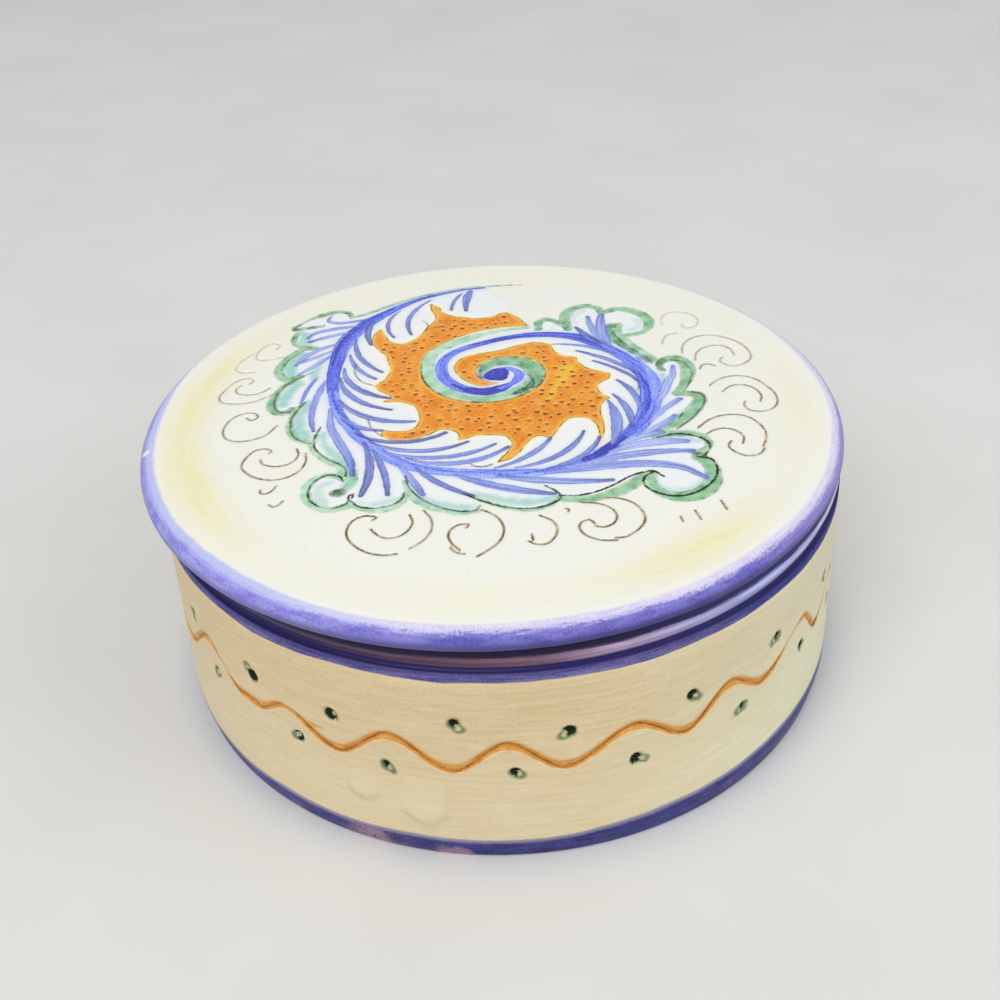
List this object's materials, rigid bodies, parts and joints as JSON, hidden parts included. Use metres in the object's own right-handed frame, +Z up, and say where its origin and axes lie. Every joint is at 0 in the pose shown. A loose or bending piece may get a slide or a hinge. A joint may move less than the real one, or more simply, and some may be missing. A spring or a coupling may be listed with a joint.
{
  "type": "lidded ceramic box",
  "caption": "Round straight-sided earthenware box with a flat lift-off lid, seated on the rim by a locating ring and painted with a scrolled leaf.",
  "frame": {"origin": "middle of the pot's flat foot, on the pot's axis", "axes": "+Z up along the pot's axis; the side in the picture faces -Y"},
  "size_m": [0.1408, 0.14, 0.0548],
  "materials": {
    "base_glaze": "cream glaze with violet-blue bands and an incised wavy line",
    "lid_glaze": "off-white glaze with a painted and incised leaf scroll and a violet-blue edge"
  },
  "bodies": {
    "base": {"base": "base_glaze"},
    "lid": {"lid": "lid_glaze"}
  },
  "joints": [
    {"name": "lid_lift", "type": "slide", "parent": "base", "child": "lid", "axis": [0, 0, 1], "range_m": [0, 0.1]}
  ]
}
